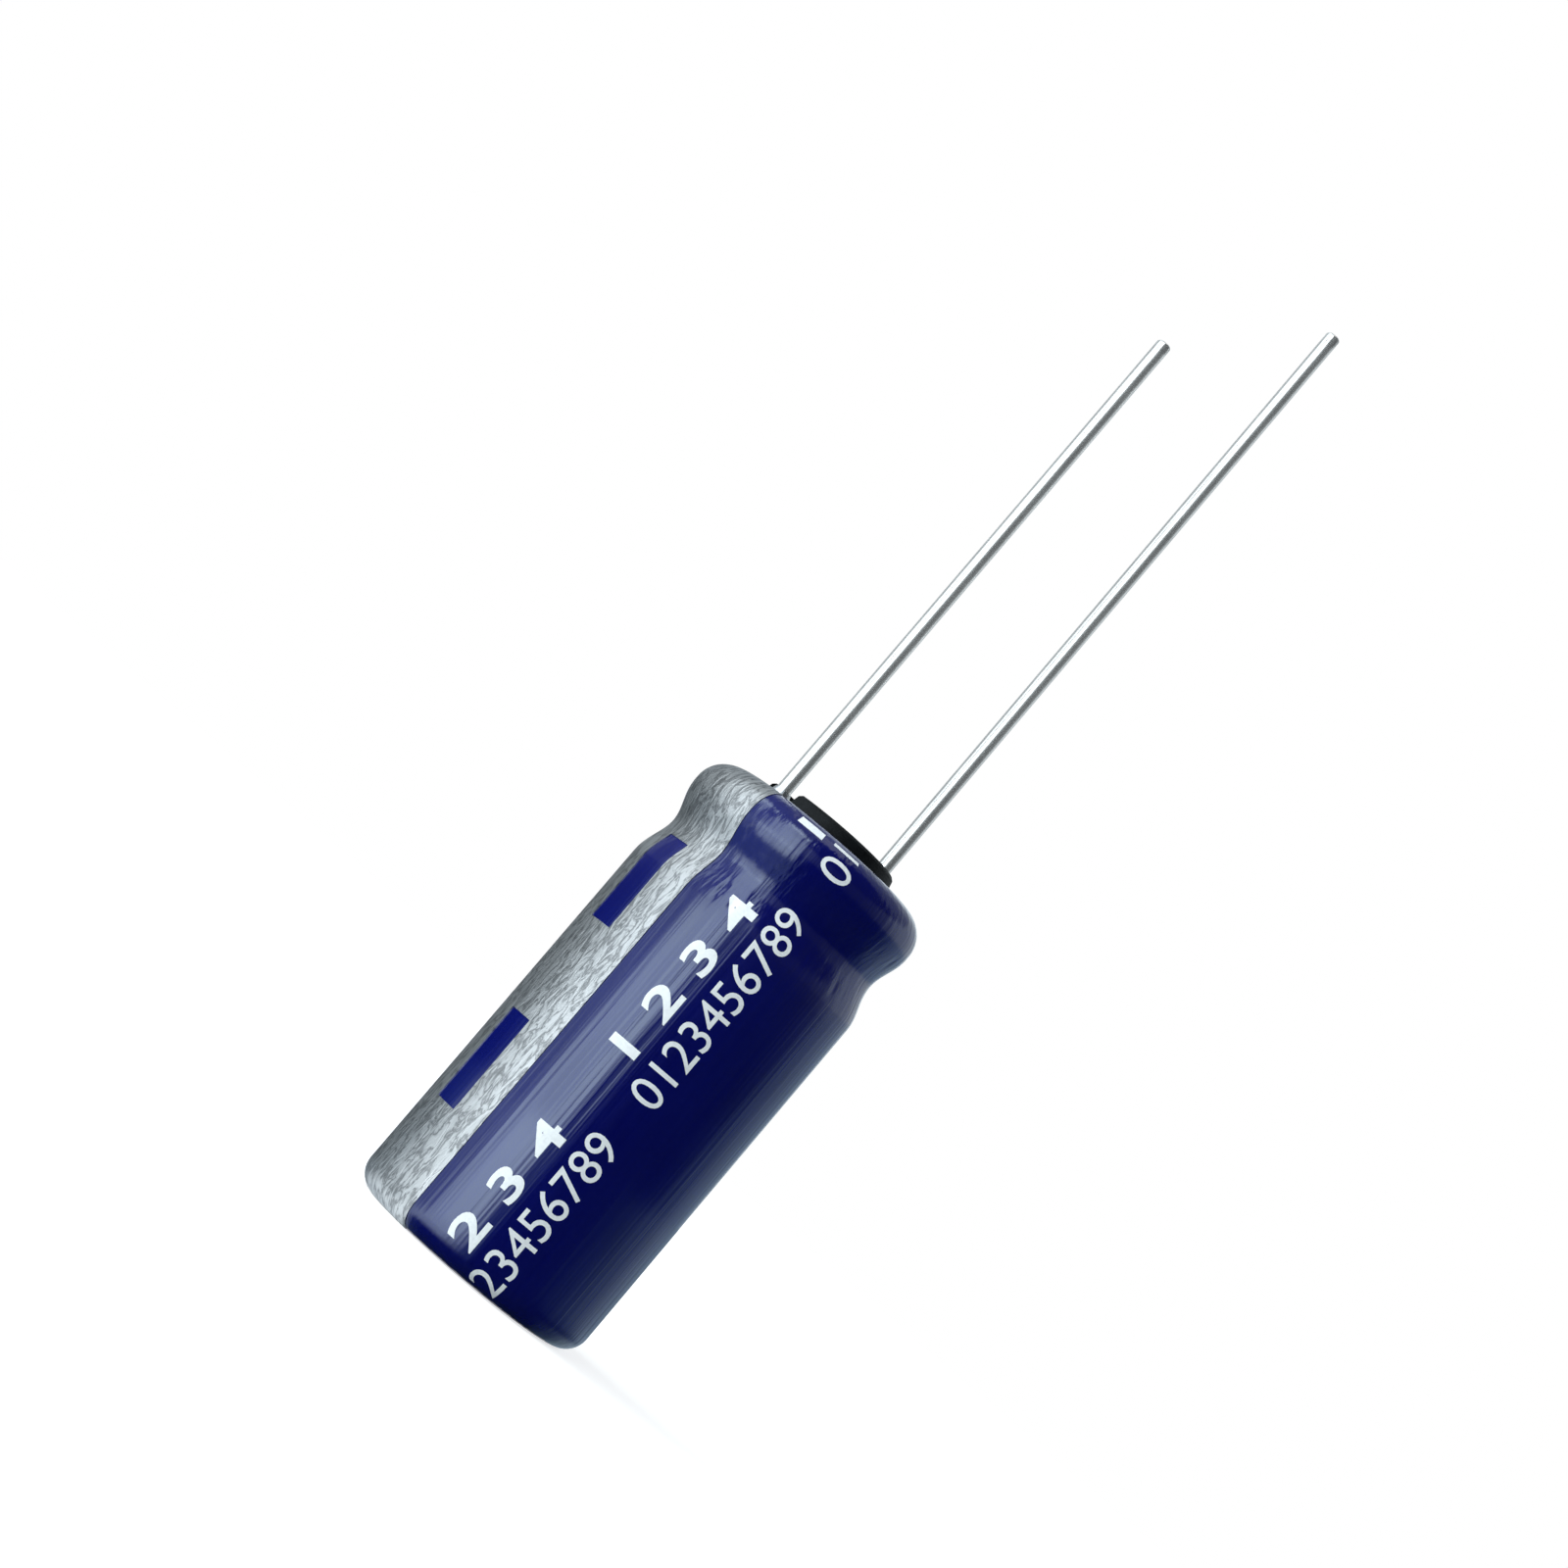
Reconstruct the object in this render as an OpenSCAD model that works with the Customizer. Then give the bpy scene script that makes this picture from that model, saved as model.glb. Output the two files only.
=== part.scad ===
// Radial supercapacitor: a beaded aluminium can in a printed shrink sleeve,
// closed by a rubber bung that carries two lugs and their wire leads.
// It stands on its closed end, with +Z along the leads and +X towards the
// positive lead.

/* [Can] */
// Diameter of the bare can
can_d = 10; // [8:0.5:12.5]
// Length of the bare can, from its closed end to its curled rim
can_l = 20; // [16:0.5:30]
// Wall of the can
can_wall = 0.3; // [0.2:0.05:0.4]
// Outer corner radius at the closed end
base_round = 0.8; // [0.5:0.1:1.2]

/* [Bead and curl] */
// Depth of the bead rolled into the wall
bead_depth = 0.36; // [0.2:0.02:0.5]
// Width of the bead along the can
bead_w = 3.4; // [2.2:0.1:3.8]
// Straight wall between the bead and the curl
neck_l = 0.1; // [0.05:0.05:1]
// Outer radius of the curl at the rim
curl_r = 1.1; // [0.8:0.05:1.2]
// Angle that the curl turns down past its top
curl_turn = 24; // [6:1:40]

/* [Sleeve] */
// Thickness of the shrunk film
film = 0.1; // [0.06:0.01:0.2]
// Hole that the film leaves under the closed end
base_hole_d = 7; // [5:0.1:7.4]
// Angle that the film reaches past the top of the curl
film_turn = 14; // [0:1:20]

/* [Stripe] */
// Width of the stripe on the negative side
stripe_w = 4.4; // [3:0.1:6]
// Angle from the negative lead to the middle of the stripe
stripe_turn = 12; // [-20:1:20]
// Thickness of the printed ink
ink = 0.03; // [0.02:0.01:0.05]
// Width of each minus dash left open in the stripe
dash_w = 1.5; // [0.8:0.1:2.4]
// Length of each minus dash
dash_l = 4.1; // [2:0.1:6]
// Distance from one dash to the next
dash_pitch = 8.4; // [7:0.1:12]
// Height of the first dash above the closed end
dash_base = 4.1; // [2:0.1:6]

/* [Bung] */
// Length of the bung below the bead
bung_foot = 0.8; // [0.5:0.1:2]
// Chamfer round the foot of the bung
bung_chamfer = 0.3; // [0.1:0.05:0.4]
// Depth of the bung's face below the rim
face_drop = 0.6; // [0.45:0.05:0.9]
// Height of the stand-off pads above the rim
pad_rise = 0.7; // [0.3:0.05:1]
// Gap between the lip of the curl and the foot of the pads
lip_gap = 0.3; // [0.05:0.05:0.5]
// Inward slope of the pads from foot to top
pad_draft = 0.25; // [0.05:0.05:0.4]
// Chamfer round the tops of the pads
pad_chamfer = 0.12; // [0.02:0.02:0.2]
// Width of the gas channel between the pads
channel_w = 3; // [1.6:0.1:3.2]
// Length of the bridge that joins the pads
bridge_l = 2.9; // [2:0.1:3.4]
// Depth of the bridge below the tops of the pads
bridge_drop = 0.27; // [0.1:0.01:0.5]

/* [Leads] */
// Distance between the two leads
lead_pitch = 5; // [4.6:0.1:5.4]
// Diameter of the lead wire
wire_d = 0.6; // [0.45:0.05:0.8]
// Length of the positive lead above the rim
positive_l = 27.5; // [5:0.5:35]
// Length of the negative lead above the rim
negative_l = 22.5; // [5:0.5:35]
// Chamfer left on a wire by its cutter
wire_chamfer = 0.08; // [0.02:0.02:0.16]

/* [Lugs] */
// Diameter of the lug's round stub in the bung
stub_d = 1; // [0.9:0.05:1.1]
// Height of the weld that tapers from the stub to the wire
weld_h = 0.5; // [0.2:0.05:0.6]
// Ring of weld metal round the wire at the top of the weld
weld_rim = 0.04; // [0.02:0.01:0.08]
// Length of the stub below the bung
stub_drop = 0.3; // [0.1:0.05:0.4]
// Length over which the stub is pressed flat
stub_taper = 0.7; // [0.3:0.05:0.9]
// Thickness of the flat tab
tab_t = 0.25; // [0.15:0.05:0.4]
// Width of the flat tab
tab_w = 1.6; // [1:0.1:2.2]
// Distance from the foot of the tab to the foot of the roll
tab_lift = 2.2; // [1:0.1:4]

/* [Wound element] */
// Gap between the roll and the can
roll_gap = 0.2; // [0.1:0.05:0.4]
// Free height between the roll and the bung
head_gap = 1.4; // [1.3:0.1:3]
// Hole left by the winding spindle
core_d = 1.2; // [0.8:0.1:2]

/* [Fit] */
// Gap left between pieces that are pressed together
fit_gap = 0.01; // [0.005:0.005:0.02]

/* [Hidden] */
$fn = 96;
arc_step = 7.5;
bead_steps = 24;
cut_over = 1;
positive = 1;
negative = -1;
// The ink stops on the corner, just above the face that the part stands on
ink_from = -75;

can_r = can_d / 2;
film_in = fit_gap;
film_out = film_in + film;
base_z = film_out;
rim_z = base_z + can_l;
curl_z = rim_z - curl_r;
curl_mid_r = can_r - curl_r;
bead_z = curl_z - neck_l - bead_w / 2;

bore_r = can_r - can_wall - fit_gap;
lip_r = curl_mid_r + curl_r * cos(90 + curl_turn);
pad_foot_r = lip_r - lip_gap;
pad_top_r = pad_foot_r - pad_draft;
face_z = rim_z - face_drop;
pad_z = rim_z + pad_rise;
bung_z = bead_z - bead_w / 2 - bung_foot;

roll_r = can_r - can_wall - roll_gap;
// The roll's edge rests in the rounded corner inside the closed end
corner_in_r = base_round - can_wall;
roll_overhang = max(0, roll_r - can_r + base_round);
roll_z = base_z + base_round - sqrt(corner_in_r ^ 2 - roll_overhang ^ 2) + fit_gap;
roll_top_z = bung_z - head_gap;
tab_z = roll_z + tab_lift;
stub_foot_z = bung_z - stub_drop;
weld_z = rim_z + weld_h;

print_r = can_r + film_out;
stripe_arc = arc_angle(stripe_w);
dash_arc = arc_angle(dash_w);
stripe_mid = 180 + stripe_turn;

// Angle round the printed surface that a width covers
function arc_angle(width) = width / print_r * 180 / PI;

// A path runs along the outside of the can as [r, z, normal r, normal z]
function arc_path(r, z, radius, from, to) = [
    for (a = arc_angles(from, to))
        [r + radius * cos(a), z + radius * sin(a), cos(a), sin(a)]
];

// Even steps from the start, so that layers on one arc share their points
function arc_angles(from, to) = [
    for (i = [0 : ceil((to - from) / arc_step)])
        min(from + i * arc_step, to)
];

function end_path(from_r) = [[from_r, base_z, 0, -1]];

function corner_path(from) =
    arc_path(can_r - base_round, base_z + base_round, base_round, from, 0);

function bead_path() = [
    for (i = [0 : bead_steps])
        let (
            t = i / bead_steps,
            slope = bead_depth * PI / bead_w * sin(360 * t),
            size = norm([1, slope])
        )
        [
            can_r - bead_depth * (1 - cos(360 * t)) / 2,
            bead_z + bead_w * (t - 0.5),
            1 / size,
            slope / size
        ]
];

function curl_path(turn) = arc_path(curl_mid_r, curl_z, curl_r, 0, 90 + turn);

function side_path(turn) = concat(bead_path(), curl_path(turn));

// The same path, moved out along its normals
function moved(path, out) = [for (p = path) [p[0] + out * p[2], p[1] + out * p[3]]];

function reversed(list) = [for (i = [len(list) - 1 : -1 : 0]) list[i]];

// Section of a layer that follows a path between two distances from it
module layer(path, inner, outer) {
    polygon(concat(moved(path, outer), reversed(moved(path, inner))));
}

// Shrink film from the lip under the closed end to just past the curl
module sleeve() {
    path = concat(end_path(base_hole_d / 2), corner_path(-90), side_path(film_turn));
    color("#1b2178")
        rotate_extrude()
            layer(path, film_in, film_out);
}

// Silver ink on the film, with the minus dashes left open
module negative_stripe() {
    path = concat(corner_path(ink_from), side_path(0));
    color("#c9cfd6")
        difference() {
            sector(stripe_arc)
                layer(path, film_out, film_out + ink);
            for (z = [base_z + dash_base : dash_pitch : bead_z])
                sector(dash_arc)
                    translate([can_r - bead_depth - cut_over, z])
                        square([bead_depth + 2 * cut_over, dash_l]);
        }
}

// Turns a section through an angle centred on the stripe
module sector(angle) {
    rotate([0, 0, stripe_mid - angle / 2])
        rotate_extrude(angle = angle)
            children();
}

// Drawn can with its rolled bead and the curl that holds the bung down
module can() {
    path = concat(end_path(0), corner_path(-90), side_path(curl_turn));
    color("#c4c7cb")
        rotate_extrude()
            layer(path, -can_wall, 0);
}

// Rubber bung: squeezed by the bead, with pads that stand off the board
module bung() {
    color("#1a1b1c")
        difference() {
            rotate_extrude()
                polygon(concat(
                    [[0, bung_z], [bore_r - bung_chamfer, bung_z], [bore_r, bung_z + bung_chamfer]],
                    moved(side_path(curl_turn), -can_wall - fit_gap),
                    [
                        [lip_r, face_z],
                        [pad_foot_r, face_z],
                        [pad_top_r, pad_z - pad_chamfer],
                        [pad_top_r - pad_chamfer, pad_z],
                        [0, pad_z]
                    ]
                ));
            gas_channel();
            for (side = [positive, negative])
                translate([side * lead_pitch / 2, 0, bung_z - cut_over])
                    cylinder(d = stub_d + 2 * fit_gap, h = pad_z - bung_z + 2 * cut_over);
        }
}

// Channel along the line of the leads, with a shallow bridge at its middle
module gas_channel() {
    bridge_z = pad_z - bridge_drop;
    translate([-pad_foot_r - cut_over, -channel_w / 2, bridge_z])
        cube([2 * (pad_foot_r + cut_over), channel_w, bridge_drop + cut_over]);
    difference() {
        intersection() {
            translate([0, 0, face_z])
                cylinder(r = pad_foot_r + lip_gap / 2, h = pad_z - face_z);
            translate([-can_r, -channel_w / 2, face_z])
                cube([can_d, channel_w, pad_z - face_z]);
        }
        translate([-bridge_l / 2, -channel_w, face_z - cut_over])
            cube([bridge_l, 2 * channel_w, pad_z - face_z + 2 * cut_over]);
    }
}

// Aluminium lug: flat tab in the roll, round stub in the bung, weld to the wire
module lug(side) {
    color("#b9bcc0")
        translate([side * lead_pitch / 2, 0, 0]) {
            translate([-tab_t / 2, -tab_w / 2, tab_z])
                cube([tab_t, tab_w, stub_foot_z - tab_z]);
            translate([0, 0, stub_foot_z - stub_taper])
                cylinder(d1 = tab_t, d2 = stub_d, h = stub_taper);
            translate([0, 0, stub_foot_z])
                cylinder(d = stub_d, h = rim_z - stub_foot_z);
            translate([0, 0, rim_z])
                cylinder(d1 = stub_d, d2 = wire_d + 2 * weld_rim, h = weld_h);
        }
}

module positive_lug() {
    lug(positive);
}

module negative_lug() {
    lug(negative);
}

// Tinned wire from the weld to its cut tip
module lead(side, length) {
    free_l = length - weld_h - wire_chamfer;
    color("#d5d8db")
        translate([side * lead_pitch / 2, 0, weld_z]) {
            cylinder(d = wire_d, h = free_l);
            translate([0, 0, free_l])
                cylinder(d1 = wire_d, d2 = wire_d - 2 * wire_chamfer, h = wire_chamfer);
        }
}

module positive_lead() {
    lead(positive, positive_l);
}

module negative_lead() {
    lead(negative, negative_l);
}

// Foils and paper wound into one roll, with a slot for each tab
module wound_element() {
    color("#8f8a80")
        difference() {
            translate([0, 0, roll_z])
                cylinder(r = roll_r, h = roll_top_z - roll_z);
            translate([0, 0, roll_z - cut_over])
                cylinder(d = core_d, h = roll_top_z - roll_z + 2 * cut_over);
            for (side = [positive, negative])
                translate([
                    side * lead_pitch / 2 - tab_t / 2 - fit_gap,
                    -tab_w / 2 - fit_gap,
                    tab_z - fit_gap
                ])
                    cube([tab_t + 2 * fit_gap, tab_w + 2 * fit_gap, roll_top_z - tab_z + cut_over]);
        }
}

sleeve();
negative_stripe();
can();
bung();
positive_lug();
negative_lug();
positive_lead();
negative_lead();
wound_element();
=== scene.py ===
import math
from bisect import bisect_right

import bmesh
import bpy
from mathutils import Matrix, Vector, noise


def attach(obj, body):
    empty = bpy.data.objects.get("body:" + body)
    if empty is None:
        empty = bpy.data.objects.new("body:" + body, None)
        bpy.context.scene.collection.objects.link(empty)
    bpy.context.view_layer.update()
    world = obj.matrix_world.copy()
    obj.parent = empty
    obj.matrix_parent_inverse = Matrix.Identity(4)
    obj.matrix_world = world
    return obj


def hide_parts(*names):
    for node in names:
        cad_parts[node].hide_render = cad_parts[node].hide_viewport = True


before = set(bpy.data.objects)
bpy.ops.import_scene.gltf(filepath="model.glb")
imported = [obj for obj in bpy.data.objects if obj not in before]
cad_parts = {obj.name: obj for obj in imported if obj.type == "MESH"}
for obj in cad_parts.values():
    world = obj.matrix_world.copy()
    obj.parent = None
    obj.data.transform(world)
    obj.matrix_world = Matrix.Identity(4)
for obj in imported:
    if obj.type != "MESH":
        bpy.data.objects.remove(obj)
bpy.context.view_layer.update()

MM = 0.001
ROOT = "root"
PATH_LAYER = "film_path"
TONE_LAYER = "tone"

# Sizes shared with the part's source
CAN_R = 5.0
BASE_Z = 0.11
BASE_ROUND = 0.8
BEAD_DEPTH = 0.36
BEAD_W = 3.4
BEAD_Z = 17.21
CURL_R = 1.1
CURL_Z = 19.01
FILM = 0.1
FILM_OUT = 0.11
BASE_HOLE_R = 3.5
FILM_TURN = 14
PRINT_R = CAN_R + FILM_OUT
INK = 0.03
INK_FROM = -75
STRIPE_W = 4.4
STRIPE_MID = 192
DASH_W = 1.5
DASH_L = 4.1
DASH_Z = (4.21, 12.61)
LEAD_X = 2.5
WIRE_R = 0.3
WIRE_CHAMFER = 0.08
WELD_Z = 20.61
TIP_Z = {"positive_lead": 47.61, "negative_lead": 42.61}

# Film path: the outside of the film from the hole under the base to the rim
CORNER_PARTS = 24
BEAD_PARTS = 64
CURL_PARTS = 40


def arc_points(r, z, radius, start, end, parts):
    points = []
    for i in range(parts + 1):
        a = math.radians(start + (end - start) * i / parts)
        points.append((r + radius * math.cos(a), z + radius * math.sin(a), math.cos(a), math.sin(a)))
    return points


def bead_points(parts):
    points = []
    for i in range(parts + 1):
        t = i / parts
        r = CAN_R - BEAD_DEPTH * (1 - math.cos(math.tau * t)) / 2
        slope = BEAD_DEPTH * math.pi / BEAD_W * math.sin(math.tau * t)
        size = math.hypot(1, slope)
        nr, nz = 1 / size, slope / size
        points.append((r + FILM_OUT * nr, BEAD_Z + BEAD_W * (t - 0.5) + FILM_OUT * nz, nr, nz))
    return points


def film_path():
    """Points of the path, each with its radius, its height and the direction that faces outwards."""
    corner_r = BASE_ROUND + FILM_OUT
    corner = arc_points(CAN_R - BASE_ROUND, BASE_Z + BASE_ROUND, corner_r, -90, 0, CORNER_PARTS)
    curl = arc_points(CAN_R - CURL_R, CURL_Z, CURL_R + FILM_OUT, 0, 90 + FILM_TURN, CURL_PARTS)
    return [(BASE_HOLE_R, 0.0, 0.0, -1.0)] + corner + bead_points(BEAD_PARTS) + curl


PATH = film_path()
LENGTHS = [0.0]
for before, after in zip(PATH, PATH[1:]):
    LENGTHS.append(LENGTHS[-1] + math.dist(before[:2], after[:2]))
PATH_END = LENGTHS[-1]
# Path length where the base's corner begins
CORNER_S = LENGTHS[1]
# Path length where the straight wall begins, and its height there
WALL_START = CORNER_PARTS + 1
WALL_S = LENGTHS[WALL_START]
WALL_Z = PATH[WALL_START][1]
# Path length where the ink begins on the base's corner
INK_S = CORNER_S + (BASE_ROUND + FILM_OUT) * math.radians(90 + INK_FROM)
# Path length at the crest of the rim
RIM_S = PATH_END - (CURL_R + FILM_OUT) * math.radians(FILM_TURN)

# Puckers of the film on the bead's shoulders: angle, height, half width, half length, depth
PUCKERS = (
    (229, 16.2, 0.18, 0.70, 0.040), (237, 16.0, 0.17, 0.50, 0.035), (222, 18.3, 0.20, 0.45, 0.025),
    (250, 18.4, 0.20, 0.40, 0.020), (274, 16.3, 0.22, 0.55, 0.012), (296, 16.1, 0.25, 0.70, 0.018),
    (318, 18.3, 0.25, 0.45, 0.025), (341, 16.2, 0.22, 0.75, 0.040), (12, 16.0, 0.20, 0.55, 0.030),
    (35, 18.4, 0.22, 0.40, 0.025), (52, 16.3, 0.25, 0.70, 0.045), (83, 16.1, 0.20, 0.60, 0.035),
    (104, 18.3, 0.25, 0.45, 0.030), (131, 16.2, 0.22, 0.70, 0.040), (158, 18.4, 0.20, 0.40, 0.020))
# The film's unevenness is noise read on a circle round the can, which rises with the height there.
# Crinkles on the bead: depth, noise circle and rise, drop below the bead's middle, half height
CRINKLE = 0.02
CRINKLE_CIRCLE = 10
CRINKLE_RISE = 0.9
CRINKLE_DROP = 0.3
CRINKLE_HALF = 1.6
# Ripples at the rim: depth, noise circle and layer, distance past the crest, half length
RIPPLE = 0.012
RIPPLE_CIRCLE = 6
RIPPLE_LAYER = 3.0
RIPPLE_PAST = 0.15
RIPPLE_HALF = 0.6
# Slow waves all over: depth, noise circle and rise
WAVE = 0.004
WAVE_CIRCLE = 2.6
WAVE_RISE = 0.12
# Lengths over which the film grows even at its two ends
FADE_RIM = 0.15
FADE_BASE = 0.6


def wall_s(z):
    return WALL_S + z - WALL_Z


def on_path(s):
    s = min(max(s, 0.0), PATH_END)
    i = min(bisect_right(LENGTHS, s), len(PATH) - 1)
    t = (s - LENGTHS[i - 1]) / (LENGTHS[i] - LENGTHS[i - 1])
    r, z, nr, nz = (a + (b - a) * t for a, b in zip(PATH[i - 1], PATH[i]))
    size = math.hypot(nr, nz)
    return r, z, nr / size, nz / size


def window(x, middle, half):
    """Smooth bump that is 1 at its middle and 0 outside its half width."""
    t = min(abs(x - middle) / half, 1.0)
    return (1 - t * t) ** 2


def round_noise(angle, circle, layer):
    """Noise on a circle round the can, with no seam."""
    return noise.noise(Vector((math.cos(angle) * circle, math.sin(angle) * circle, layer)))


def pucker_depth(z, angle):
    depth = 0.0
    for place, height, half_w, half_l, deep in PUCKERS:
        if abs(z - height) < half_l:
            away = math.remainder(angle - math.radians(place), math.tau) * CAN_R
            depth += deep * window(away, 0.0, half_w) * window(z, height, half_l)
    return depth


def dent(s, angle):
    """How far the shrunk film sinks: puckers and crinkles on the bead, ripples at the rim, slow waves."""
    _, z, _, _ = on_path(s)
    pucker = pucker_depth(z, angle) if s < RIM_S else 0.0
    crinkle = CRINKLE * (1 + round_noise(angle, CRINKLE_CIRCLE, CRINKLE_RISE * z))
    crinkle *= window(z, BEAD_Z - CRINKLE_DROP, CRINKLE_HALF)
    ripple = RIPPLE * (1 + round_noise(angle, RIPPLE_CIRCLE, RIPPLE_LAYER))
    ripple *= window(s, RIM_S + RIPPLE_PAST, RIPPLE_HALF)
    wave = WAVE * (1 + round_noise(angle, WAVE_CIRCLE, WAVE_RISE * z))
    fade = min(1.0, (PATH_END - s) / FADE_RIM, s / FADE_BASE)
    return (pucker + crinkle + ripple + wave) * max(0.0, fade)


def point_round(r, angle, z):
    """A point at a distance from the can's axis, in metres."""
    return Vector((r * math.cos(angle), r * math.sin(angle), z)) * MM


def film_point(s, angle, lift):
    """A point on the film, or a little above or below it."""
    r, z, nr, nz = on_path(s)
    if lift > -FILM:
        lift -= dent(s, angle)
    return point_round(r + lift * nr, angle, z + lift * nz)


# Mesh helpers
SHARP_ANGLE = 35


def new_mesh(name, bm):
    mesh = bpy.data.meshes.new(name)
    bm.to_mesh(mesh)
    bm.free()
    return mesh


def new_object(name, data):
    made = bpy.data.objects.new(name, data)
    bpy.context.scene.collection.objects.link(made)
    return made


def new_piece(name, bm, material):
    bmesh.ops.recalc_face_normals(bm, faces=bm.faces)
    mesh = new_mesh(name, bm)
    for polygon in mesh.polygons:
        polygon.use_smooth = True
    mesh.set_sharp_from_angle(angle=math.radians(SHARP_ANGLE))
    mesh.materials.append(material)
    piece = new_object(name, mesh)
    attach(piece, ROOT)
    return piece


def join_loops(bm, loops):
    """Joins each closed loop of vertices to the next."""
    for below, above in zip(loops, loops[1:]):
        for j in range(len(below)):
            k = (j + 1) % len(below)
            bm.faces.new((below[j], below[k], above[k], above[j]))


def spaced(start, end, step):
    count = max(1, round((end - start) / step))
    return [start + (end - start) * i / count for i in range(count + 1)]


def through(stops, step):
    """Even steps from each stop to the next, with every stop among them."""
    places = [stops[0]]
    for low, high in zip(stops, stops[1:]):
        places += spaced(low, high, step)[1:]
    return places


# Node helpers
def new_tree(name):
    material = bpy.data.materials.new(name)
    material.use_nodes = True
    tree = material.node_tree
    return material, tree, tree.nodes["Principled BSDF"]


def add_node(tree, kind, values=None, **settings):
    made = tree.nodes.new(kind)
    for key, value in settings.items():
        setattr(made, key, value)
    for key, value in (values or {}).items():
        made.inputs[key].default_value = value
    return made


def link(tree, source, target):
    tree.links.new(source, target)


def mapped(tree, coords, scale):
    mapping = add_node(tree, "ShaderNodeMapping", {"Scale": scale})
    link(tree, coords, mapping.inputs["Vector"])
    return mapping.outputs["Vector"]


def scaled_coords(tree, per_mm):
    """Object coordinates counted in steps of so many a millimetre on each axis."""
    coords = add_node(tree, "ShaderNodeTexCoord")
    return mapped(tree, coords.outputs["Object"], [n / MM for n in per_mm])


def path_coords(tree, per_mm):
    """Coordinates along the film's path and round it, as the print's points carry them."""
    coords = add_node(tree, "ShaderNodeAttribute", attribute_name=PATH_LAYER)
    return mapped(tree, coords.outputs["Vector"], per_mm)


def noise_tex(tree, per_mm, detail=4, rough=0.55, distortion=0.0, coords=scaled_coords):
    values = {"Scale": 1.0, "Detail": detail, "Roughness": rough, "Distortion": distortion}
    made = add_node(tree, "ShaderNodeTexNoise", values)
    link(tree, coords(tree, per_mm), made.inputs["Vector"])
    return made.outputs["Fac"]


def ramp(tree, source, stops):
    """Colours a value by two stops, each a place and a colour."""
    made = add_node(tree, "ShaderNodeValToRGB")
    for element, (place, colour) in zip(made.color_ramp.elements, stops):
        element.position = place
        element.color = (*colour, 1.0)
    link(tree, source, made.inputs["Fac"])
    return made.outputs["Color"]


def spread(tree, source, low, high, from_low=0.3, from_high=0.7):
    values = {"From Min": from_low, "From Max": from_high, "To Min": low, "To Max": high}
    made = add_node(tree, "ShaderNodeMapRange", values)
    link(tree, source, made.inputs["Value"])
    return made.outputs["Result"]


def bump(tree, source, distance_mm, under=None):
    made = add_node(tree, "ShaderNodeBump", {"Strength": 1.0, "Distance": distance_mm * MM})
    link(tree, source, made.inputs["Height"])
    if under is not None:
        link(tree, under, made.inputs["Normal"])
    return made.outputs["Normal"]


def fold_lines(tree, source):
    """Distance of a noise from its middle value: 0 along thin winding lines."""
    offset = add_node(tree, "ShaderNodeMath", {1: 0.5}, operation="SUBTRACT")
    link(tree, source, offset.inputs[0])
    size = add_node(tree, "ShaderNodeMath", operation="ABSOLUTE")
    link(tree, offset.outputs[0], size.inputs[0])
    return size.outputs[0]


# Materials
def film_material():
    material, tree, shader = new_tree("blue_film")
    streaks = noise_tex(tree, (3.2, 3.2, 0.07), detail=2)
    cloud = noise_tex(tree, (0.5, 0.5, 0.3), detail=3)
    fine = noise_tex(tree, (14, 14, 5), detail=2)
    colour = ramp(tree, cloud, [(0.3, (0.0003, 0.0012, 0.082)), (0.7, (0.0007, 0.0022, 0.100))])
    link(tree, colour, shader.inputs["Base Color"])
    link(tree, spread(tree, streaks, 0.13, 0.19), shader.inputs["Roughness"])
    soft = bump(tree, streaks, 0.03)
    link(tree, bump(tree, fine, 0.0012, under=soft), shader.inputs["Normal"])
    shader.inputs["Specular IOR Level"].default_value = 0.7
    shader.inputs["Specular Tint"].default_value = (0.88, 0.97, 1.0, 1)
    return material


def silver_material():
    material, tree, shader = new_tree("silver_ink")
    crinkle = noise_tex(tree, (0.9, 3.4, 1), detail=4, rough=0.6, distortion=0.6, coords=path_coords)
    grain = noise_tex(tree, (30, 30, 22), detail=2)
    # The ink's colour darkens along the crinkle's thin winding fold lines: painted shade in its creases.
    painted_fold_shade = fold_lines(tree, crinkle)
    colour = ramp(tree, painted_fold_shade, [(0.0, (0.19, 0.193, 0.20)), (0.07, (0.475, 0.478, 0.485))])
    link(tree, colour, shader.inputs["Base Color"])
    link(tree, spread(tree, grain, 0.36, 0.48), shader.inputs["Roughness"])
    creased = bump(tree, crinkle, 0.05)
    link(tree, bump(tree, grain, 0.004, under=creased), shader.inputs["Normal"])
    shader.inputs["Metallic"].default_value = 0.9
    shader.inputs["Specular Tint"].default_value = (0.4, 0.42, 0.45, 1)
    return material


def white_material():
    material, tree, shader = new_tree("white_ink")
    mottle = noise_tex(tree, (9, 9, 9), detail=3)
    colour = ramp(tree, mottle, [(0.3, (0.79, 0.81, 0.82)), (0.6, (0.87, 0.89, 0.89))])
    link(tree, colour, shader.inputs["Base Color"])
    link(tree, spread(tree, mottle, 0.35, 0.5), shader.inputs["Roughness"])
    link(tree, bump(tree, mottle, 0.004), shader.inputs["Normal"])
    return material


def rubber_material():
    material, tree, shader = new_tree("black_rubber")
    cloud = noise_tex(tree, (1.6, 1.6, 1.6), detail=4)
    grain = noise_tex(tree, (16, 16, 16), detail=3)
    colour = ramp(tree, cloud, [(0.3, (0.003, 0.0035, 0.004)), (0.7, (0.007, 0.008, 0.009))])
    link(tree, colour, shader.inputs["Base Color"])
    link(tree, spread(tree, grain, 0.42, 0.6), shader.inputs["Roughness"])
    link(tree, bump(tree, grain, 0.01), shader.inputs["Normal"])
    shader.inputs["Specular IOR Level"].default_value = 0.12
    return material


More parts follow.
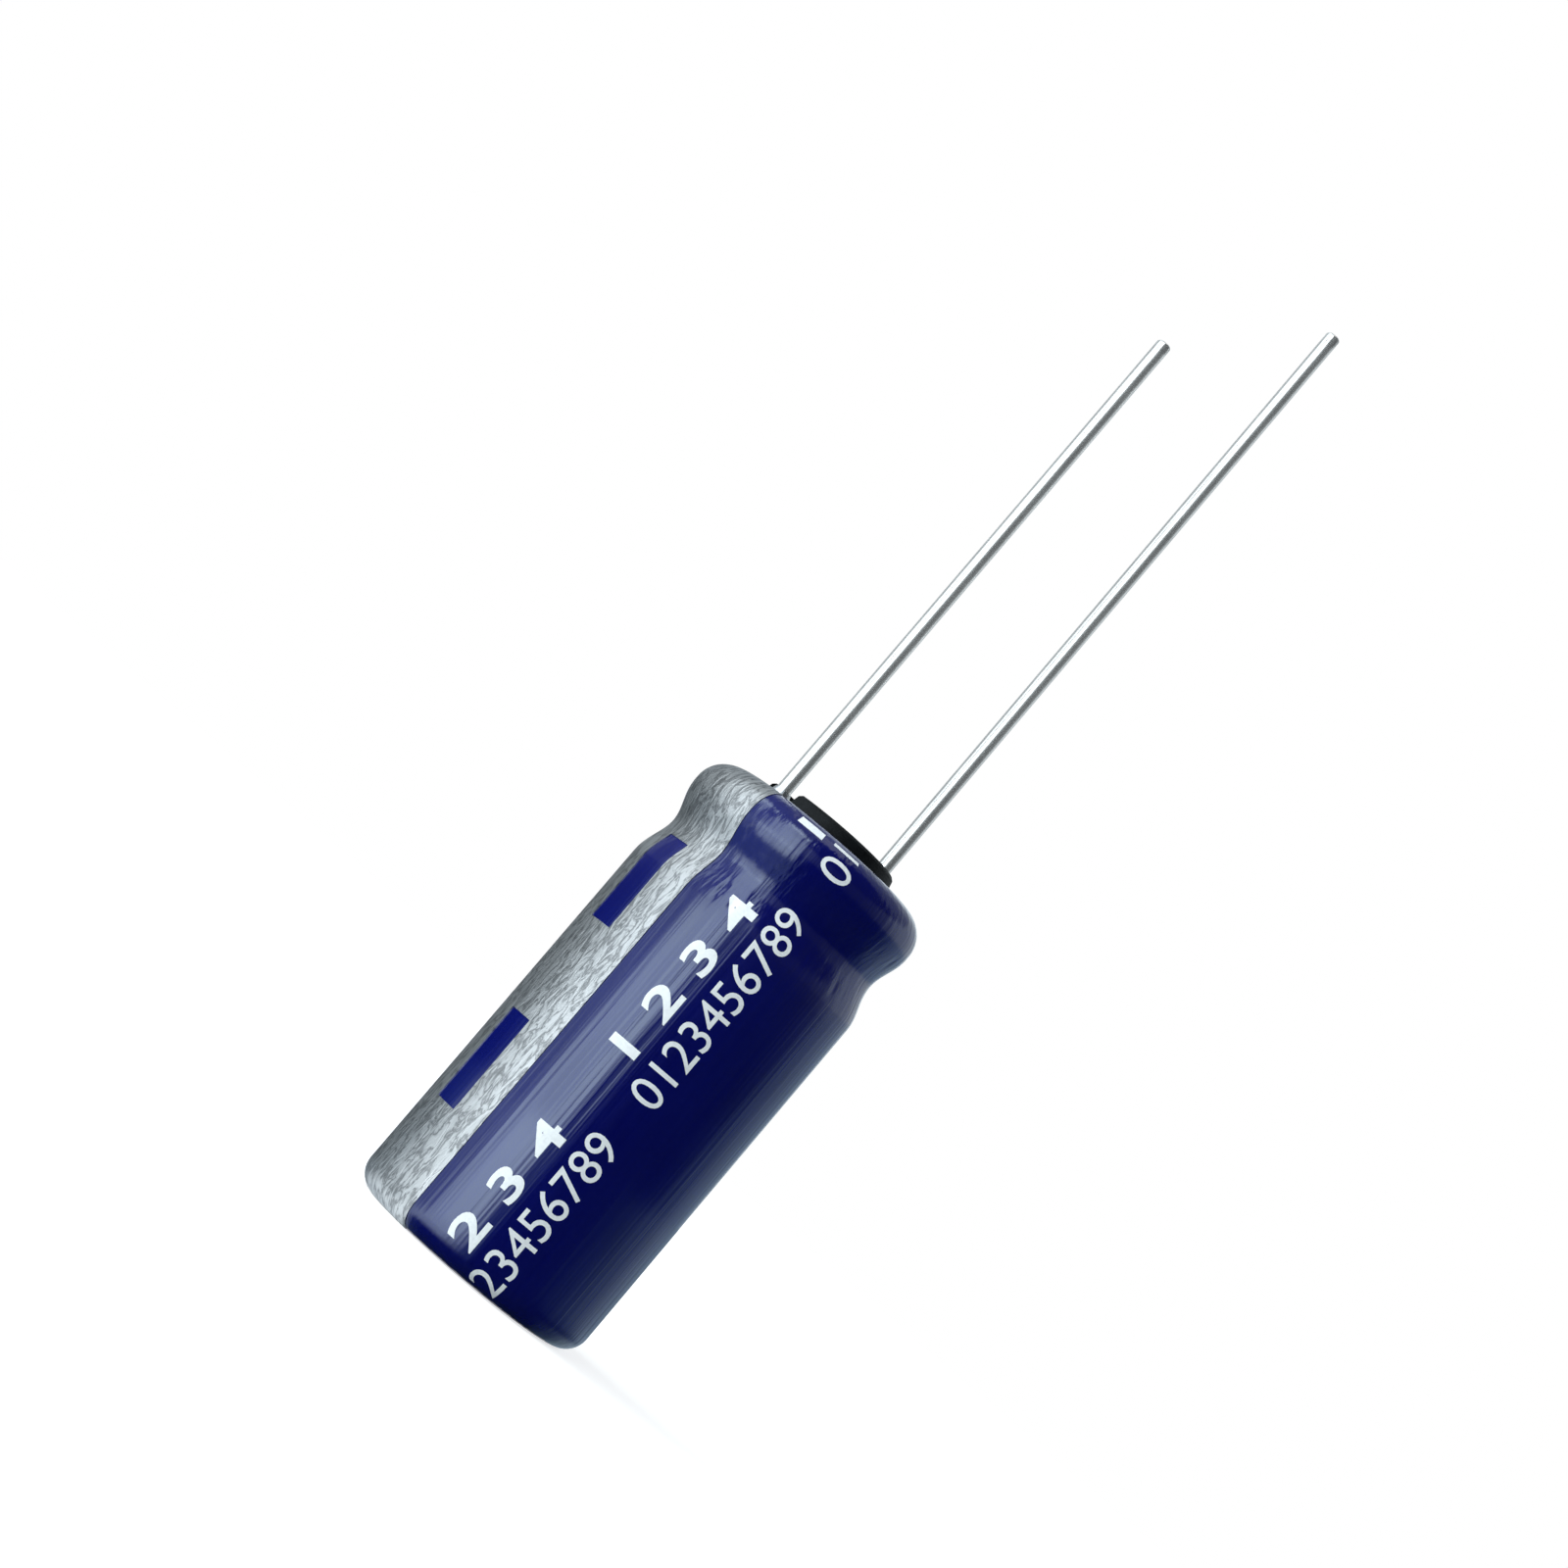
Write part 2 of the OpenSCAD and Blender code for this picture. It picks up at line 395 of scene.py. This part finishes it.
def metal_material(name, dark, light, rough, per_mm, depth_mm, metallic=1.0):
    material, tree, shader = new_tree(name)
    marks = noise_tex(tree, per_mm, detail=4)
    cloud = noise_tex(tree, (1.2, 1.2, 0.7), detail=3)
    link(tree, ramp(tree, cloud, [(0.3, dark), (0.7, light)]), shader.inputs["Base Color"])
    link(tree, spread(tree, marks, *rough), shader.inputs["Roughness"])
    link(tree, bump(tree, marks, depth_mm), shader.inputs["Normal"])
    shader.inputs["Metallic"].default_value = metallic
    return material


def paper_material():
    material, tree, shader = new_tree("roll_paper")
    fibres = noise_tex(tree, (8, 8, 3), detail=5)
    colour = ramp(tree, fibres, [(0.3, (0.24, 0.22, 0.19)), (0.7, (0.36, 0.34, 0.30))])
    link(tree, colour, shader.inputs["Base Color"])
    link(tree, spread(tree, fibres, 0.7, 0.9), shader.inputs["Roughness"])
    link(tree, bump(tree, fibres, 0.02), shader.inputs["Normal"])
    return material


FILM_BLUE = film_material()
SILVER = silver_material()
WHITE = white_material()
RUBBER = rubber_material()
ALUMINIUM = metal_material(
    "drawn_aluminium", dark=(0.62, 0.63, 0.65), light=(0.76, 0.77, 0.79), rough=(0.26, 0.42),
    per_mm=(9, 9, 0.8), depth_mm=0.004)
LUG_METAL = metal_material(
    "lug_aluminium", dark=(0.55, 0.56, 0.58), light=(0.70, 0.71, 0.73), rough=(0.28, 0.45),
    per_mm=(10, 10, 6), depth_mm=0.01)
TIN = metal_material(
    "tin_plate", dark=(0.75, 0.73, 0.715), light=(0.87, 0.85, 0.83), rough=(0.14, 0.24),
    per_mm=(7, 7, 0.5), depth_mm=0.0008, metallic=0.8)
PAPER = paper_material()

# Sleeve: points round it, and steps along its corner, its wall, its bead and rim, and its inside
SLEEVE_AROUND = 480
CORNER_STEP = 0.14
WALL_STEP = 0.5
BEAD_STEP = 0.07
INSIDE_STEP = 0.3


def make_sleeve():
    bead_s = wall_s(BEAD_Z - BEAD_W / 2)
    outer = [0.0] + spaced(CORNER_S, WALL_S, CORNER_STEP)
    outer += spaced(WALL_S, bead_s, WALL_STEP)[1:]
    outer += spaced(bead_s, PATH_END, BEAD_STEP)[1:]
    inner = [0.0] + spaced(CORNER_S, WALL_S, INSIDE_STEP)
    inner += spaced(bead_s, PATH_END, INSIDE_STEP)
    section = [(s, 0.0) for s in outer] + [(s, -FILM) for s in reversed(inner)]
    bm = bmesh.new()
    loops = []
    for s, lift in section:
        turn = [film_point(s, math.tau * j / SLEEVE_AROUND, lift) for j in range(SLEEVE_AROUND)]
        loops.append([bm.verts.new(p) for p in turn])
    join_loops(bm, [*loops, loops[0]])
    piece = new_piece("shrink_sleeve", bm, FILM_BLUE)
    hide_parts("sleeve")


# Print: flat outlines in path length and arc length, then wrapped on the film
PRINT_STEP = 0.15
COLUMN_STEP = 0.1
# Digits: height of their ink, steps of their curves, distance at which points merge, margin below the crest
DIGIT_INK = 0.009
DIGIT_CURVE_STEPS = 5
DIGIT_MERGE = 0.0005
DIGIT_MARGIN = 0.36
# Rows of digits: text, size and boldness, the angle of the row's middle, and where its middle run begins
DIGIT_ROWS = {
    "bold_digits": {
        "text": "1 2 3 4", "length": 6.9, "height": 1.2, "bold": 0.022, "middle": 241, "first_z": 9.6},
    "narrow_digits": {
        "text": "0123456789", "length": 8.6, "height": 1.3, "bold": 0.0, "middle": 260, "first_z": 8.65},
}
# Each row has three runs of its text, this far apart
DIGIT_PITCH = 10.3
DIGIT_RUNS = (-1, 0, 1)


def cut_lines(bm, axis, step):
    low = min(v.co[axis] for v in bm.verts)
    high = max(v.co[axis] for v in bm.verts)
    for place in spaced(low, high, step)[1:-1]:
        at = Vector((0, 0, 0))
        at[axis] = place
        normal = Vector((0, 0, 0))
        normal[axis] = 1
        bmesh.ops.bisect_plane(bm, geom=[*bm.verts, *bm.edges, *bm.faces], plane_co=at, plane_no=normal)


def keep_between(bm, low, high):
    for place, sign in ((low, -1), (high, 1)):
        bmesh.ops.bisect_plane(
            bm, geom=[*bm.verts, *bm.edges, *bm.faces], plane_co=(place, 0, 0),
            plane_no=(sign, 0, 0), clear_outer=True)


def wrap_print(bm, middle, height):
    """Thickens a flat print and lays it on the film: x along the path, y round it."""
    flat = list(bm.faces)
    made = bmesh.ops.extrude_face_region(bm, geom=flat)
    for v in made["geom"]:
        if isinstance(v, bmesh.types.BMVert):
            v.co.z = height
    layer = bm.verts.layers.float_vector.new(PATH_LAYER)
    for v in bm.verts:
        v[layer] = v.co
        v.co = film_point(v.co.x, math.radians(middle) - v.co.y / PRINT_R, v.co.z)


def make_stripe():
    dash_ends = [wall_s(z + d) for z in DASH_Z for d in (0, DASH_L)]
    rows = through([INK_S, *dash_ends, RIM_S], PRINT_STEP)
    columns = through([-STRIPE_W / 2, -DASH_W / 2, DASH_W / 2, STRIPE_W / 2], COLUMN_STEP)
    bm = bmesh.new()
    grid = [[bm.verts.new((s, y, 0)) for y in columns] for s in rows]
    for i, s in enumerate(zip(rows, rows[1:])):
        for j, y in enumerate(zip(columns, columns[1:])):
            z = (s[0] + s[1]) / 2 - wall_s(0)
            in_dash = any(low < z < low + DASH_L for low in DASH_Z)
            if in_dash and abs(y[0] + y[1]) < DASH_W:
                continue
            bm.faces.new((grid[i][j], grid[i + 1][j], grid[i + 1][j + 1], grid[i][j + 1]))
    bmesh.ops.delete(bm, geom=[v for v in bm.verts if not v.link_faces], context="VERTS")
    wrap_print(bm, STRIPE_MID, INK)
    piece = new_piece("silver_stripe", bm, SILVER)
    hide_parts("negative_stripe")


def flat_digits(text, length, height, bold):
    """Outlines of a row of digits, fitted to a length and a height."""
    curve = bpy.data.curves.new("digits", "FONT")
    curve.body = text
    curve.offset = bold
    curve.resolution_u = DIGIT_CURVE_STEPS
    holder = new_object("digits", curve)
    graph = bpy.context.evaluated_depsgraph_get()
    mesh = bpy.data.meshes.new_from_object(holder.evaluated_get(graph))
    bm = bmesh.new()
    bm.from_mesh(mesh)
    bpy.data.objects.remove(holder)
    bpy.data.curves.remove(curve)
    bpy.data.meshes.remove(mesh)
    low = [min(v.co[k] for v in bm.verts) for k in (0, 1)]
    high = [max(v.co[k] for v in bm.verts) for k in (0, 1)]
    for v in bm.verts:
        v.co.x = (v.co.x - low[0]) / (high[0] - low[0]) * length
        v.co.y = ((v.co.y - low[1]) / (high[1] - low[1]) - 0.5) * height
        v.co.z = 0
    bmesh.ops.remove_doubles(bm, verts=bm.verts, dist=DIGIT_MERGE)
    return bm


def make_digits(name, text, length, height, bold, middle, first_z):
    whole = bmesh.new()
    for run in DIGIT_RUNS:
        bm = flat_digits(text, length, height, bold)
        bmesh.ops.translate(bm, verts=bm.verts, vec=(wall_s(first_z) + run * DIGIT_PITCH, 0, 0))
        keep_between(bm, INK_S, RIM_S - DIGIT_MARGIN)
        cut_lines(bm, 0, PRINT_STEP)
        cut_lines(bm, 1, PRINT_STEP)
        wrap_print(bm, middle, DIGIT_INK)
        part = new_mesh("part", bm)
        whole.from_mesh(part)
        bpy.data.meshes.remove(part)
    new_piece(name, whole, WHITE)


# Leads: points round them, steps along them, and shares of the chamfer at which its curve has points
LEAD_AROUND = 40
LEAD_STEP = 0.5
TIP_SHARES = (0.35, 0.7, 1.0)


def make_lead(node, side):
    tip = TIP_Z[node]
    section = [(WIRE_R, z) for z in spaced(WELD_Z, tip - WIRE_CHAMFER, LEAD_STEP)]
    section += [(WIRE_R - WIRE_CHAMFER * t, tip - WIRE_CHAMFER * (1 - t) ** 2) for t in TIP_SHARES]
    bm = bmesh.new()
    loops = []
    for r, z in section:
        loop = []
        for j in range(LEAD_AROUND):
            a = math.tau * j / LEAD_AROUND
            loop.append(bm.verts.new(Vector((side * LEAD_X + r * math.cos(a), r * math.sin(a), z)) * MM))
        loops.append(loop)
    join_loops(bm, loops)
    bm.faces.new(loops[0][::-1])
    bm.faces.new(loops[-1])
    piece = new_piece(node + "_wire", bm, TIN)
    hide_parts(node)


# CAD nodes that keep their own shape
NODE_MATERIALS = {
    "can": ALUMINIUM,
    "bung": RUBBER,
    "positive_lug": LUG_METAL,
    "negative_lug": LUG_METAL,
    "wound_element": PAPER,
}
# Rounding of the bung's edges: width, segments, sharpest angle left alone, distance at which points merge
BUNG_ROUND = 0.06
ROUND_SEGMENTS = 3
ROUND_ANGLE = 30
ROUND_MERGE = 0.001


def dress_node(name, material):
    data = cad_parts[name].data
    data.materials.clear()
    data.materials.append(material)


def round_edges(name, width_mm):
    """Rounds a CAD node's edges as a mould does."""
    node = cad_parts[name]
    weld = node.modifiers.new("weld", "WELD")
    weld.merge_threshold = ROUND_MERGE * MM
    bevel = node.modifiers.new("round", "BEVEL")
    bevel.width = width_mm * MM
    bevel.segments = ROUND_SEGMENTS
    bevel.limit_method = "ANGLE"
    bevel.angle_limit = math.radians(ROUND_ANGLE)
    bevel.harden_normals = True


make_sleeve()
make_stripe()
for row, values in DIGIT_ROWS.items():
    make_digits(row, **values)
make_lead("positive_lead", 1)
make_lead("negative_lead", -1)
for node_name, node_material in NODE_MATERIALS.items():
    dress_node(node_name, node_material)
round_edges("bung", BUNG_ROUND)

# Studio: the camera's place, and the colours of the light
VIEW_AZ = -20
VIEW_EL = -5.9
ROLL = 49.5
LENS = 71.1
DISTANCE = 114
AIM_Z = 20.9
AIM_SIDE = -2.5
CLIP_NEAR = 5
CLIP_FAR = 20000
DAYLIGHT = (0.85, 0.95, 1.0)
SHADE_BLUE = (0.45, 0.78, 1.05)
WORLD_LEVEL = 0.1
# Floor: its size, its grey in the lamps' light, and how white it looks near the part and far from it
FLOOR_R = 1500
FLOOR_SIDES = 96
FLOOR_GREY = (0.6, 0.6, 0.6, 1)
FLOOR_ROUGH = 0.9
FLOOR_WHITE = (0.7, 1.0)
FLOOR_NEAR = 60
FLOOR_FAR = 200
# Soft lamps that light matt surfaces only, each from a foot to a head given as (r, z)
LAMPS = {
    "key_lamp": {"angle": 219, "foot": (260, 0), "head": (200, 300), "width_mm": 190, "radiance": 2.4},
    "left_lamp": {"angle": 172, "foot": (260, 0), "head": (200, 300), "width_mm": 260, "radiance": 4.0},
    "back_lamp": {"angle": 8, "foot": (300, 40), "head": (240, 280), "width_mm": 240, "radiance": 3.2},
}
# Tones that gloss and metal reflect, as (angle round the part, tone), first those under its edge
EDGE_TONES = (
    (0, 0.6), (40, 0.5), (80, 0.05), (140, 0.05), (165, 0.6), (176, 1.6), (212, 1.8), (218, 0.16),
    (224, 0.05), (290, 0.03), (306, 0.2), (320, 0.5), (340, 0.6), (360, 0.6))
# Tones beside its foot
FOOT_TONES = (
    (0, 0.55), (14, 0.55), (30, 0.42), (52, 0.36), (59, 0.9), (72, 0.9), (79, 0.05), (112, 0.05), (140, 0.1),
    (158, 0.35), (170, 1.8), (188, 1.8), (194, 0.8), (200, 1.5), (206, 3.3), (212, 4.9), (230, 5.2),
    (236, 3.2), (243, 0.55), (250, 0.02), (300, 0.03), (318, 0.15), (330, 0.25), (342, 0.38), (360, 0.55))
# Tones of the floor further out and of the panels' lower part
LOW_TONES = (
    (0, 0.38), (14, 0.52), (30, 0.48), (52, 0.47), (59, 1.3), (72, 1.3), (79, 0.05), (132, 0.05), (151, 0.15),
    (163, 1.5), (170, 2.6), (179, 5.0), (184, 1.2), (188, 0.7), (194, 1.4), (200, 3.1), (206, 5.1),
    (211, 4.25), (216, 3.4), (221, 4.35), (227, 5.5), (231, 5.1), (238, 1.6), (246, 0.02), (328, 0.03),
    (342, 0.065), (352, 0.23), (360, 0.38))
# Tones of the panels' upper part
MID_TONES = (
    (0, 0.8), (20, 0.65), (52, 0.7), (59, 1.3), (72, 1.3), (79, 0.5), (112, 0.5), (122, 0.25), (138, 0.25),
    (150, 0.6), (162, 1.3), (170, 2.2), (179, 4.0), (184, 1.4), (190, 0.6), (198, 0.7), (206, 2.7),
    (214, 3.7), (232, 4.0), (238, 1.6), (246, 0.45), (257, 0.2), (270, 0.1), (300, 0.09), (314, 0.13),
    (330, 0.2), (340, 0.33), (350, 0.62), (360, 0.8))
# Tones overhead
HIGH_TONES = (
    (0, 0.3), (30, 0.35), (60, 0.8), (90, 1.0), (110, 0.4), (140, 0.4), (152, 1.2), (160, 2.6), (180, 2.6),
    (188, 0.4), (202, 0.45), (207, 3.4), (216, 3.9), (224, 3.2), (234, 3.0), (239, 0.45), (246, 0.05),
    (344, 0.05), (360, 0.3))
COOL_BANDS = (EDGE_TONES, FOOT_TONES, LOW_TONES)
# Tone that a bright panel falls to where its gain is 0
PANEL_LOW = 0.5
# Degrees from one column of the ring to the next
RING_STEP = 2
# The ring's rows as (r, z, tones, gain of its bright panels)
RING_ROWS = (
    (4.5, 0.03, EDGE_TONES, 1.0), (5.4, 0.06, EDGE_TONES, 1.0),
    (6.2, 0.1, FOOT_TONES, 0.4), (9, 0.2, FOOT_TONES, 0.6), (20, 0.2, FOOT_TONES, 0.85),
    (20, 5.5, FOOT_TONES, 1.0),
    (21, 0.2, LOW_TONES, 0.0), (46, 0.2, LOW_TONES, 0.0), (60, 0.2, LOW_TONES, 0.6),
    (80, 0.2, LOW_TONES, 0.75), (200, 0.2, LOW_TONES, 0.75), (320, 0.2, LOW_TONES, 1.0),
    (320, 28, LOW_TONES, 1.0),
    (320, 48, MID_TONES, 1.0), (320, 160, MID_TONES, 1.0),
    (300, 200, HIGH_TONES, 1.0), (250, 262, HIGH_TONES, 1.0), (247, 266, HIGH_TONES, 1.8),
    (228, 288, HIGH_TONES, 1.8), (225, 291, HIGH_TONES, 1.0), (212, 308, HIGH_TONES, 1.0),
    (206, 316, HIGH_TONES, 0.0), (110, 420, HIGH_TONES, 0.0))


def view_axes():
    az, el = math.radians(VIEW_AZ), math.radians(VIEW_EL)
    back = Vector((math.sin(az) * math.cos(el), -math.cos(az) * math.cos(el), math.sin(el)))
    side = Vector((math.cos(az), math.sin(az), 0))
    up = back.cross(side)
    return back, side, up


def make_camera():
    back, side, up = view_axes()
    roll = math.radians(ROLL)
    right = math.cos(roll) * up + math.sin(roll) * side
    top = math.sin(roll) * up - math.cos(roll) * side
    aim = (Vector((0, 0, AIM_Z)) + AIM_SIDE * side) * MM
    data = bpy.data.cameras.new("camera")
    data.lens = LENS
    data.clip_start = CLIP_NEAR * MM
    data.clip_end = CLIP_FAR * MM
    camera = new_object("camera", data)
    turn = Matrix((right, top, back)).transposed().to_4x4()
    camera.matrix_world = Matrix.Translation(aim + back * DISTANCE * MM) @ turn
    bpy.context.scene.camera = camera


def seen_rays(tree):
    """1 for rays from the camera and for those that a mirror or glass passes on."""
    path = add_node(tree, "ShaderNodeLightPath")
    total = path.outputs["Is Camera Ray"]
    for name in ("Is Glossy Ray", "Is Transmission Ray"):
        larger = add_node(tree, "ShaderNodeMath", operation="MAXIMUM")
        link(tree, total, larger.inputs[0])
        link(tree, path.outputs[name], larger.inputs[1])
        total = larger.outputs[0]
    return total


def make_world():
    world = bpy.data.worlds.new("studio")
    world.use_nodes = True
    bpy.context.scene.world = world
    tree = world.node_tree
    background = tree.nodes["Background"]
    background.inputs["Color"].default_value = (1, 1, 1, 1)
    strength = spread(tree, seen_rays(tree), WORLD_LEVEL, 1.0, 0.0, 1.0)
    link(tree, strength, background.inputs["Strength"])


def make_floor():
    bm = bmesh.new()
    bmesh.ops.create_circle(bm, cap_ends=True, segments=FLOOR_SIDES, radius=FLOOR_R * MM)
    mesh = new_mesh("floor", bm)
    floor = new_object("floor", mesh)
    material, tree, shader = new_tree("pale_floor")
    shader.inputs["Base Color"].default_value = FLOOR_GREY
    shader.inputs["Roughness"].default_value = FLOOR_ROUGH
    shader.inputs["Specular IOR Level"].default_value = 0.0
    shader.inputs["Emission Color"].default_value = (1, 1, 1, 1)
    coords = add_node(tree, "ShaderNodeTexCoord")
    reach = add_node(tree, "ShaderNodeVectorMath", operation="LENGTH")
    link(tree, coords.outputs["Object"], reach.inputs[0])
    glow = spread(tree, reach.outputs["Value"], *FLOOR_WHITE, FLOOR_NEAR * MM, FLOOR_FAR * MM)
    product = add_node(tree, "ShaderNodeMath", operation="MULTIPLY")
    link(tree, glow, product.inputs[0])
    link(tree, seen_rays(tree), product.inputs[1])
    link(tree, product.outputs[0], shader.inputs["Emission Strength"])
    mesh.materials.append(material)


def make_lamp(name, angle, foot, head, width_mm, radiance):
    """A soft panel at an angle round the part."""
    a = math.radians(angle)
    ends = [point_round(r, a, z) for r, z in (foot, head)]
    tall = (ends[1] - ends[0]).length
    data = bpy.data.lights.new(name, "AREA")
    data.color = DAYLIGHT
    data.shape = "RECTANGLE"
    data.size = width_mm * MM
    data.size_y = tall
    data.energy = radiance * math.pi * width_mm * MM * tall
    lamp = new_object(name, data)
    lamp.visible_glossy = False
    up = (ends[1] - ends[0]).normalized()
    side = Vector((-math.sin(a), math.cos(a), 0))
    turn = Matrix((side, up, side.cross(up))).transposed().to_4x4()
    lamp.matrix_world = Matrix.Translation((ends[0] + ends[1]) / 2) @ turn


def tone_at(tones, angle):
    for (a, low), (b, high) in zip(tones, tones[1:]):
        if a <= angle <= b:
            return low + (high - low) * (angle - a) / (b - a)


def panel_colour(tones, tone):
    """Daylight, and a cooler shade where a panel near the floor is dark."""
    cool = max(0.0, 1.0 - tone) if tones in COOL_BANDS else 0.0
    return Vector(DAYLIGHT).lerp(Vector(SHADE_BLUE), cool) * tone


def make_ring():
    """A ring of panels round the part, light and dark, that only reflections show."""
    bm = bmesh.new()
    layer = bm.verts.layers.float_color.new(TONE_LAYER)
    loops = []
    for r, z, tones, gain in RING_ROWS:
        loop = []
        for angle in range(0, 360, RING_STEP):
            v = bm.verts.new(point_round(r, math.radians(angle), z))
            tone = tone_at(tones, angle)
            tone = min(tone, PANEL_LOW) + max(tone - PANEL_LOW, 0.0) * gain
            v[layer] = (*panel_colour(tones, tone), 1.0)
            loop.append(v)
        loops.append(loop)
    join_loops(bm, loops)
    mesh = new_mesh("reflection_ring", bm)
    ring = new_object("reflection_ring", mesh)
    material, tree, shader = new_tree("ring_panels")
    shader.inputs["Base Color"].default_value = (0, 0, 0, 1)
    shader.inputs["Specular IOR Level"].default_value = 0.0
    shader.inputs["Emission Strength"].default_value = 1.0
    colour = add_node(tree, "ShaderNodeAttribute", attribute_name=TONE_LAYER)
    link(tree, colour.outputs["Color"], shader.inputs["Emission Color"])
    mesh.materials.append(material)
    ring.visible_camera = False
    ring.visible_diffuse = False
    ring.visible_shadow = False


make_camera()
make_world()
make_floor()
make_ring()
for lamp_name, lamp_values in LAMPS.items():
    make_lamp(lamp_name, **lamp_values)
bpy.context.scene.view_settings.view_transform = "Standard"
